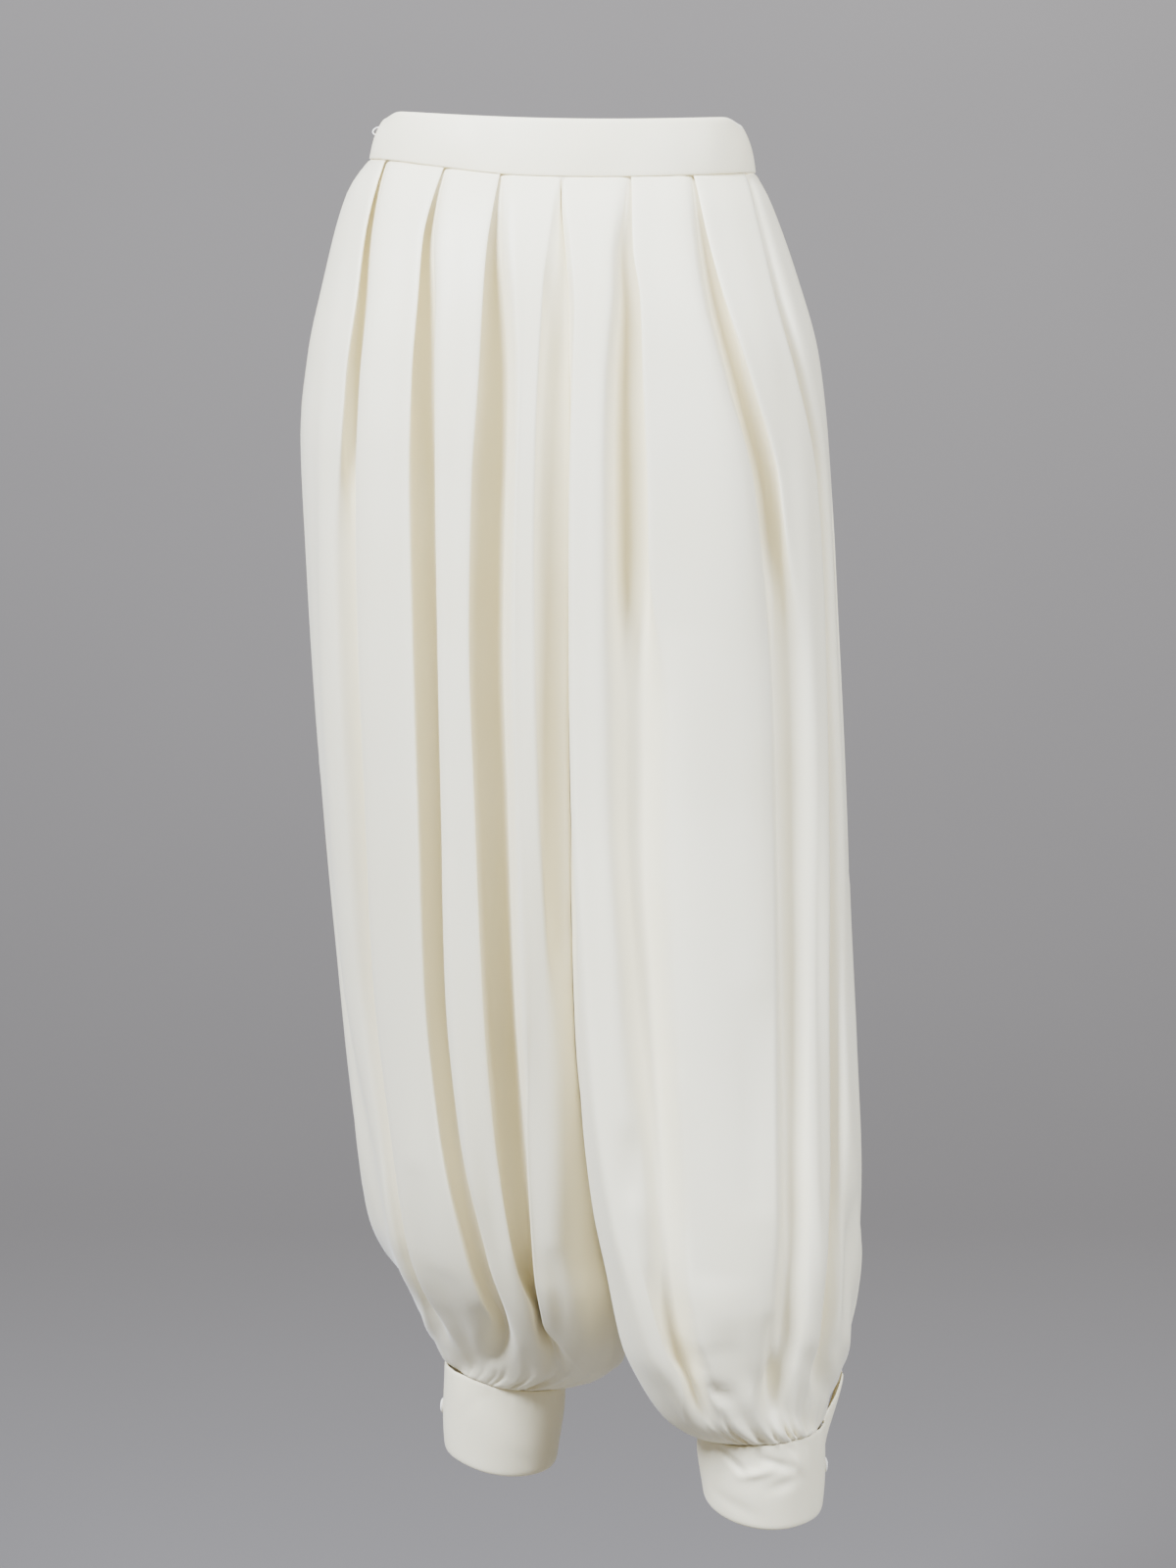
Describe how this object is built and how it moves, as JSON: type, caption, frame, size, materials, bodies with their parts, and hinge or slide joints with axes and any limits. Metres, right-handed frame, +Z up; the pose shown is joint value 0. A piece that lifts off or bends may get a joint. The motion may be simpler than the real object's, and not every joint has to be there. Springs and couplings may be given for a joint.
{
  "type": "balloon trousers",
  "caption": "Pleated satin balloon trousers in worn form: straight waistband, eight front pleats, full legs gathered into buttoned ankle cuffs, concealed zip at the centre back.",
  "frame": {"origin": "centre of the waist, inside the waistband, 11.5 mm below its top edge", "axes": "+Z up, -Y the front of the garment, +X the wearer's left; metres"},
  "size_m": [0.3784, 0.3274, 0.9524],
  "materials": {
    "satin": "soft satin, ivory",
    "thread": "matt ivory thread",
    "button": "pearl ivory gloss",
    "zip": "ivory enamel"
  },
  "bodies": {
    "trousers": {"waistband_front": "satin", "waistband_back_right": "satin", "waistband_back_left": "satin", "front_right": "satin", "front_left": "satin", "back_right": "satin", "back_left": "satin", "cuff_right": "satin", "cuff_left": "satin", "button_right": "button", "button_left": "button", "side_loop": "thread", "zip_slider": "zip"},
    "zip_pull": {"zip_pull": "zip"}
  },
  "joints": [
    {"name": "zip_pull_hinge", "type": "hinge", "parent": "trousers", "child": "zip_pull", "pos_m": [0, 0.10542, -0.04244], "axis": [1, 0, 0], "range_deg": [0, 140]}
  ]
}
